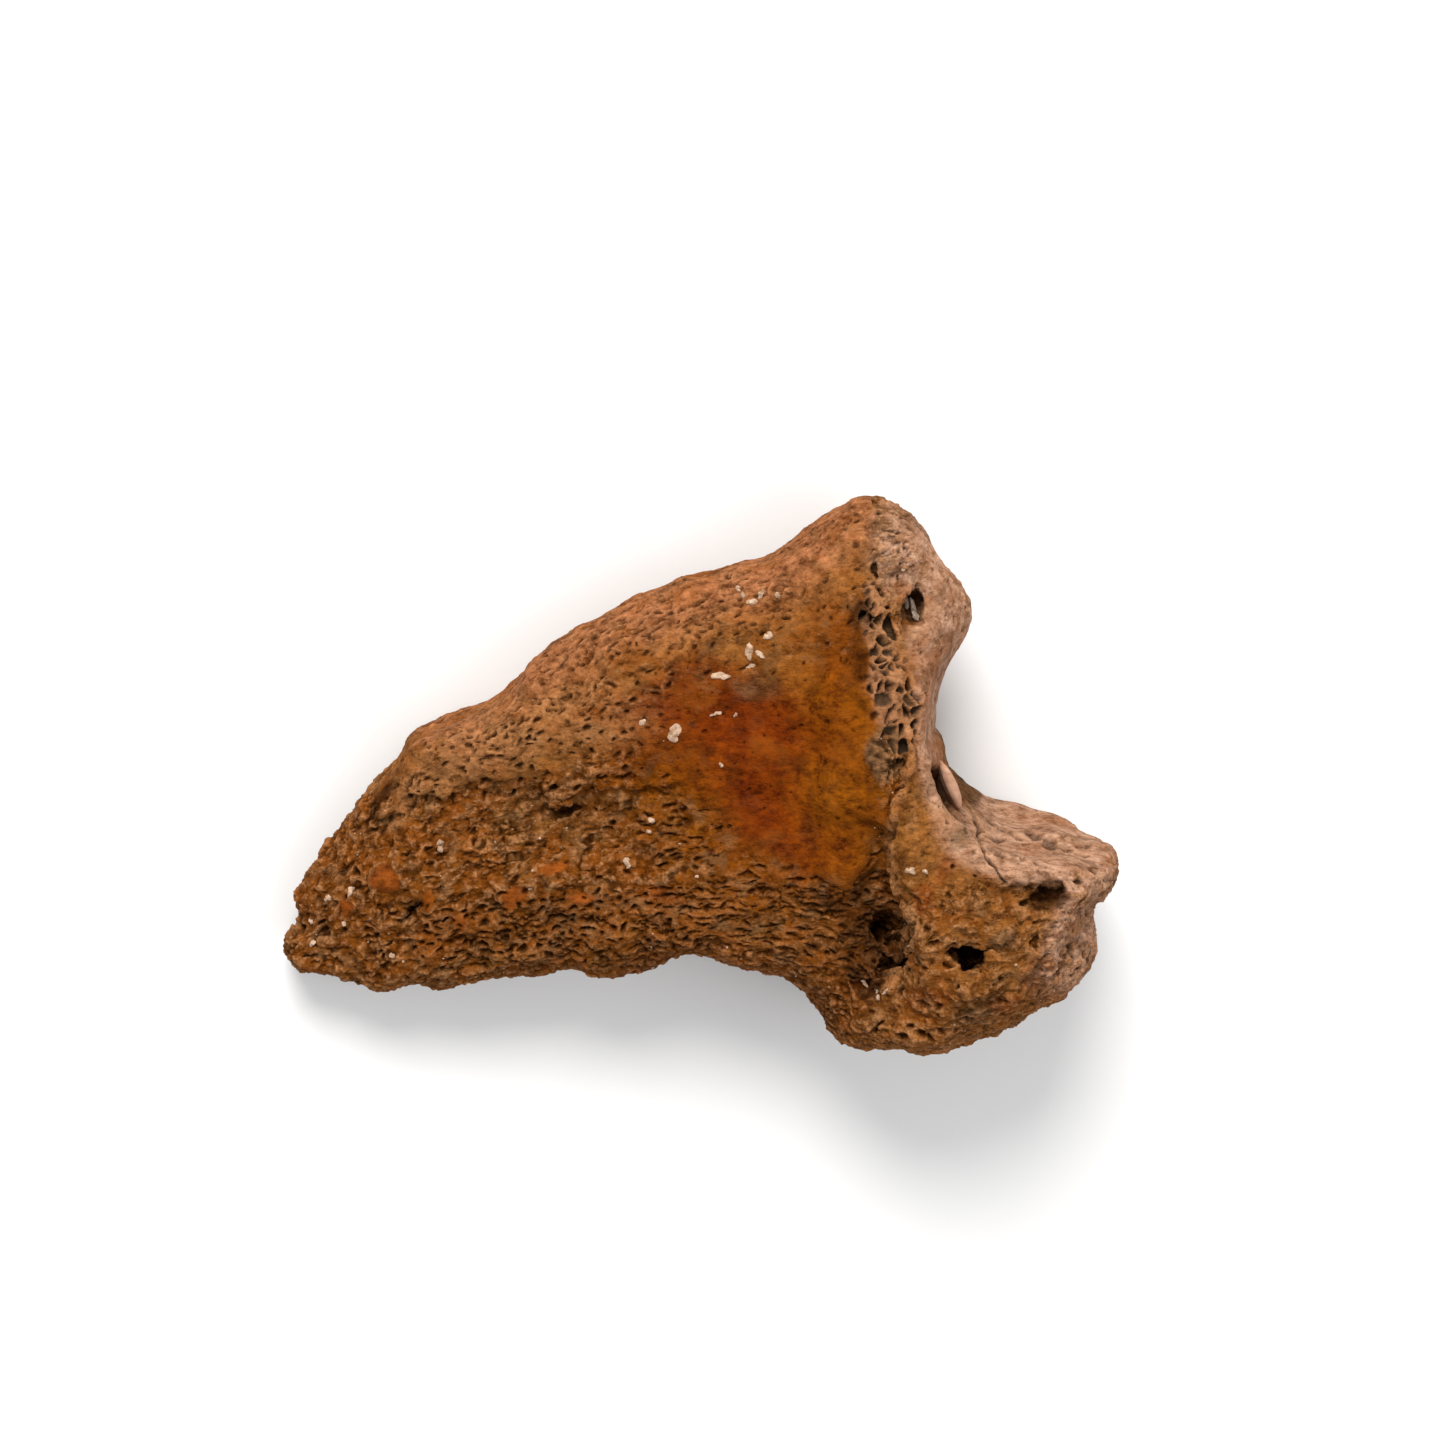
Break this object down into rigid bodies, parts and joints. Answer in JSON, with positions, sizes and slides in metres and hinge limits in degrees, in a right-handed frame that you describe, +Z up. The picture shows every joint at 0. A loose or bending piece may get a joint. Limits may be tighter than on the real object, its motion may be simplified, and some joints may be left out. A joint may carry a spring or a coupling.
{
  "type": "fossil cave bear claw",
  "caption": "Fossil claw bone of a cave bear lying on its side: a tall thin blade with a worn tip, a broken spongy rim, a hollow joint face and a knobbly base.",
  "frame": {"origin": "centre of the bounding box in plan, on the surface that the bone lies on", "axes": "+X from the tip to the joint, +Y from the sole to the back of the claw, +Z up, out of the side that faces up"},
  "size_m": [0.0526, 0.0356, 0.0183],
  "materials": {
    "fossil_bone": "dry, mostly matt orange-brown bone with a faint waxy sheen where it is smooth"
  },
  "bodies": {
    "root": {"claw_core": "fossil_bone"}
  },
  "joints": []
}
